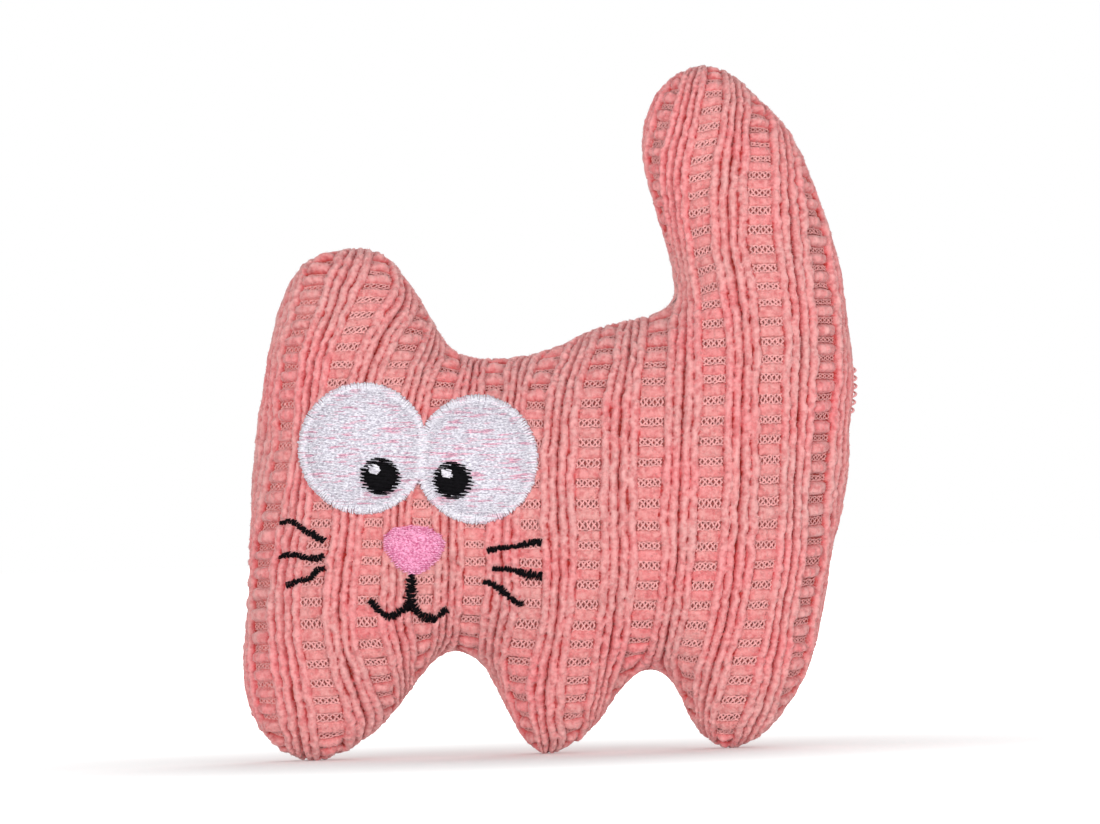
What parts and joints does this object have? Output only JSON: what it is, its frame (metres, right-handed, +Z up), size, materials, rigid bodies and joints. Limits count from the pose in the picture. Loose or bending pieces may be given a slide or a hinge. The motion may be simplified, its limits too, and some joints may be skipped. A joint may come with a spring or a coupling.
{
  "type": "plush cat toy",
  "caption": "Small stuffed plush cat in ribbed pink chenille knit, standing on short legs with its tail up, with an embroidered face.",
  "frame": {"origin": "on the ground under the middle of the cat, in the plane of the seam between its two panels", "axes": "+X from the face towards the tail, +Z up, and -Y out of the embroidered front panel"},
  "size_m": [0.1252, 0.0392, 0.1369],
  "materials": {
    "chenille_knit": "matte",
    "pink_thread": "matte",
    "polyester_filling": "matte",
    "stabiliser": "matte",
    "white_thread": "satin",
    "black_thread": "satin",
    "pink_satin_thread": "satin"
  },
  "bodies": {
    "root": {"front_cover": "chenille_knit", "back_cover": "chenille_knit", "overlocked_seam": "pink_thread", "closing_stitches": "pink_thread", "body_filling": "polyester_filling", "head_filling": "polyester_filling", "ear_filling": "polyester_filling", "tail_filling": "polyester_filling", "front_leg_filling": "polyester_filling", "middle_leg_filling": "polyester_filling", "rear_leg_filling": "polyester_filling", "embroidery_backing": "stabiliser", "left_eye": "white_thread", "right_eye": "white_thread", "left_pupil": "black_thread", "right_pupil": "black_thread", "left_eye_glint": "white_thread", "right_eye_glint": "white_thread", "nose": "pink_satin_thread", "mouth": "black_thread", "left_whisker_upper": "black_thread", "left_whisker_middle": "black_thread", "left_whisker_lower": "black_thread", "right_whisker_upper": "black_thread", "right_whisker_middle": "black_thread", "right_whisker_lower": "black_thread"}
  },
  "joints": []
}
